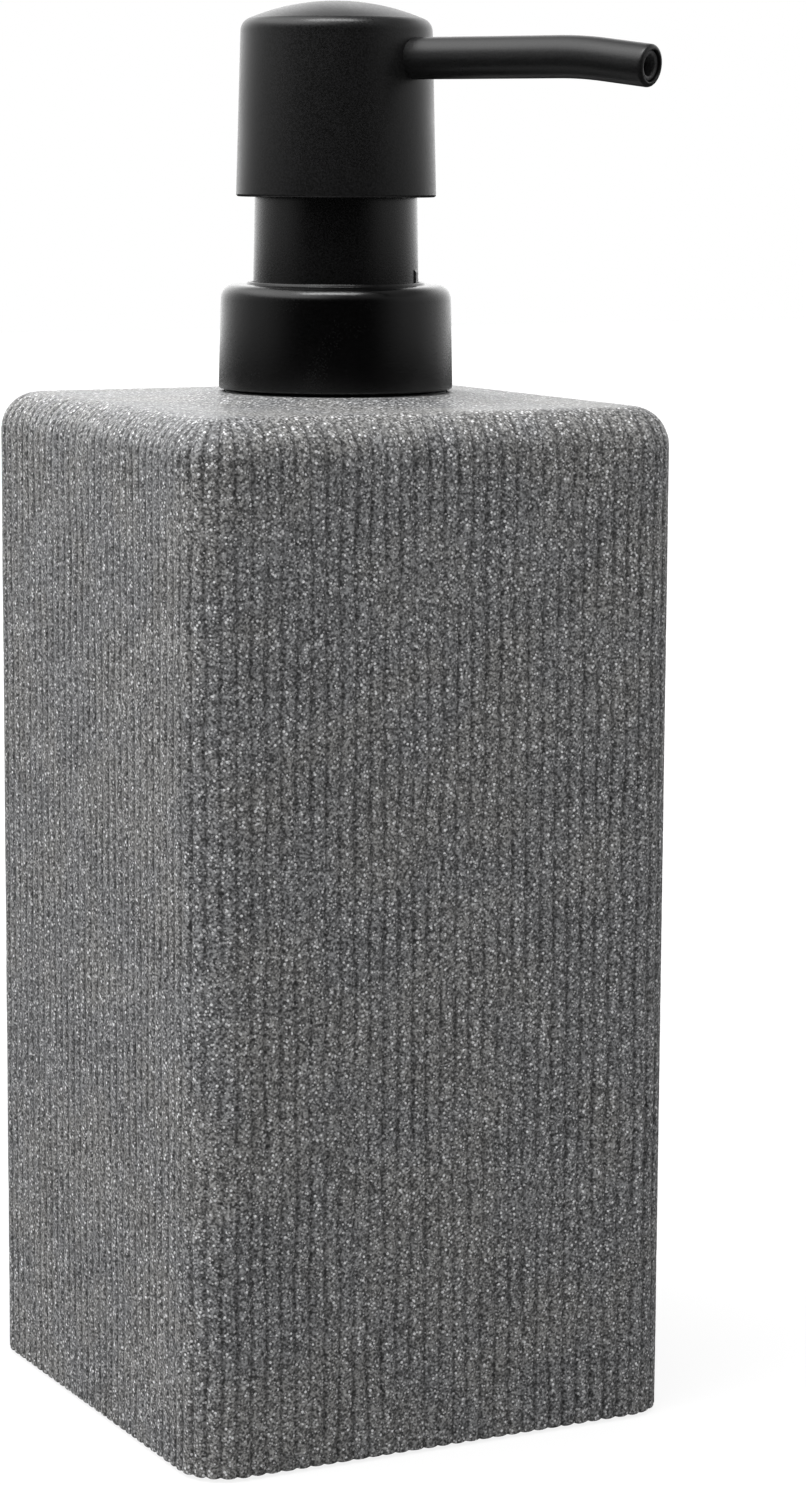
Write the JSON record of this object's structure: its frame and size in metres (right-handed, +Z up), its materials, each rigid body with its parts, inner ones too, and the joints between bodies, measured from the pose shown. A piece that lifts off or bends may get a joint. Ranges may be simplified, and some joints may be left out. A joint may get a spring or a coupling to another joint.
{
  "type": "soap pump dispenser",
  "caption": "Square fine-ribbed stone-look bottle with a matte black press pump: swivelling domed head, long spout, screw collar, spring piston, ball valve and dip tube.",
  "frame": {"origin": "centre of the underside of the base pad, on the pump axis", "axes": "+Z up along the pump axis; X and Y square to the bottle's four sides; at rest the spout points 62 degrees clockwise from +X seen from above, between +X and -Y"},
  "size_m": [0.07, 0.0792, 0.1878],
  "materials": {
    "speckled_resin": "matte",
    "base_resin": "matte",
    "pad_foam": "matte",
    "neck_plastic": "satin",
    "gasket_foam": "matte",
    "satin_black": "satin",
    "natural_plastic": "satin",
    "tube_plastic": "satin",
    "steel": "polished"
  },
  "bodies": {
    "bottle": {"bottle_body": "speckled_resin", "base_plate": "base_resin", "base_pad": "pad_foam", "neck_insert": "neck_plastic"},
    "gasket": {"neck_gasket": "gasket_foam"},
    "pump_unit": {"pump_housing": "natural_plastic", "guide_sleeve": "satin_black", "valve_cage": "natural_plastic", "dip_tube": "tube_plastic", "return_spring": "steel"},
    "closure": {"screw_closure": "neck_plastic", "closure_shell": "satin_black"},
    "ball": {"inlet_ball": "steel"},
    "plunger_stem": {"stem": "natural_plastic", "plunger": "natural_plastic"},
    "slip_piston": {"piston": "tube_plastic"},
    "head": {"head_shell": "satin_black", "head_core": "natural_plastic", "spout_tube": "satin_black", "spout_liner": "neck_plastic"}
  },
  "joints": [
    {"name": "pump_lift", "type": "slide", "parent": "bottle", "child": "gasket", "axis": [0, 0, 1], "range_m": [0, 0.15]},
    {"name": "thread_rise", "type": "slide", "parent": "gasket", "child": "pump_unit", "axis": [0, 0, 1], "range_m": [0, 0.004]},
    {"name": "closure_turn", "type": "hinge", "parent": "pump_unit", "child": "closure", "pos_m": [0, 0, 0.1474], "axis": [0, 0, 1], "range_deg": [0, 450]},
    {"name": "pump_stroke", "type": "slide", "parent": "pump_unit", "child": "plunger_stem", "axis": [0, 0, -1], "range_m": [0, 0.011], "stiffness_N_per_m": 700, "springref_m": -0.008, "deforming": ["return_spring"]},
    {"name": "head_swivel", "type": "hinge", "parent": "plunger_stem", "child": "head", "pos_m": [0, 0, 0.1622], "axis": [0, 0, 1], "continuous": true},
    {"name": "piston_slip", "type": "slide", "parent": "plunger_stem", "child": "slip_piston", "axis": [0, 0, 1], "range_m": [0, 0.0012]},
    {"name": "ball_lift", "type": "slide", "parent": "pump_unit", "child": "ball", "axis": [0, 0, 1], "range_m": [0, 0.0012]}
  ],
  "couplings": [
    {"joint": "thread_rise", "follows": "closure_turn", "m_per_rad": 0.0005092}
  ]
}
